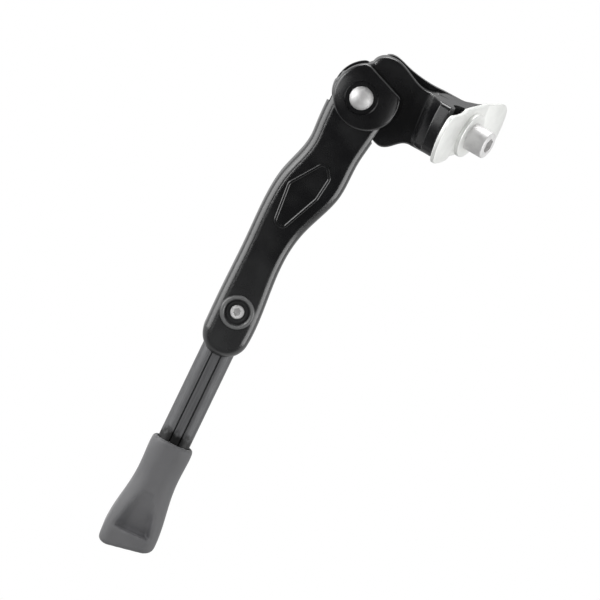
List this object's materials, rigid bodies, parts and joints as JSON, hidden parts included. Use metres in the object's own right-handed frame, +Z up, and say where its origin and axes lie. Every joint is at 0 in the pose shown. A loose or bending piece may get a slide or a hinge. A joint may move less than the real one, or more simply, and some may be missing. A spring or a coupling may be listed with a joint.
{
  "type": "bicycle kickstand",
  "caption": "Side kickstand with a clamp for the chainstays, a folding cast leg, a sliding inner leg held by a set screw, and a flared rubber foot.",
  "frame": {"origin": "on the clamp bolt's axis, at the face of the mount head that the clamp plate closes on", "axes": "+X to the front of the bicycle, +Y to its left, +Z up along the clamp bolt; the leg is folded back"},
  "size_m": [0.3057, 0.1601, 0.0918],
  "materials": {
    "black_casting": "gloss black paint",
    "plate_steel": "zinc plated, faint streaks",
    "bright_steel": "bright plated",
    "bush_bronze": "sintered bronze",
    "grey_tube": "dark anodised satin",
    "grey_rubber": "matt moulded"
  },
  "bodies": {
    "mount": {"mount_head": "black_casting", "pivot_bush": "bush_bronze"},
    "leg": {"outer_leg": "black_casting", "pivot_rivet": "bright_steel", "tail_washer": "bright_steel", "near_thrust_washer": "bright_steel", "far_thrust_washer": "bright_steel", "detent_spring": "bright_steel"},
    "plunger": {"detent_plunger": "bright_steel"},
    "lower_leg": {"inner_leg": "grey_tube", "rubber_foot": "grey_rubber"},
    "lock_screw": {"lock_screw": "bright_steel"},
    "clamp_plate": {"clamp_plate": "plate_steel"},
    "clamp_bolt": {"clamp_bolt": "bright_steel"}
  },
  "joints": [
    {"name": "leg_fold", "type": "hinge", "parent": "mount", "child": "leg", "pos_m": [-0.002, 0.03, -0.054], "axis": [-0.2374, -0.8858, -0.3987], "range_deg": [0, 104]},
    {"name": "plunger_slide", "type": "slide", "parent": "leg", "child": "plunger", "axis": [-0.9659, 0.2588, 0], "range_m": [0, 0.0026], "deforming": ["detent_spring"]},
    {"name": "length_slide", "type": "slide", "parent": "leg", "child": "lower_leg", "axis": [-0.97, 0.2383, 0.048], "range_m": [-0.035, 0.025]},
    {"name": "lock_screw_turn", "type": "hinge", "parent": "leg", "child": "lock_screw", "pos_m": [-0.13313, 0.07781, -0.05207], "axis": [0.2374, 0.8858, 0.3987], "range_deg": [0, 720]},
    {"name": "clamp_bolt_turn", "type": "hinge", "parent": "clamp_plate", "child": "clamp_bolt", "pos_m": [0, 0, 0.0049], "axis": [0, 0, 1], "range_deg": [0, 4325]},
    {"name": "clamp_slide", "type": "slide", "parent": "mount", "child": "clamp_plate", "axis": [0, 0, 1], "range_m": [0, 0.018]}
  ],
  "couplings": [
    {"joint": "plunger_slide", "follows": "leg_fold", "m_per_rad": 0.00135},
    {"joint": "clamp_bolt_turn", "follows": "clamp_slide", "rad_per_m": 4188.8}
  ]
}
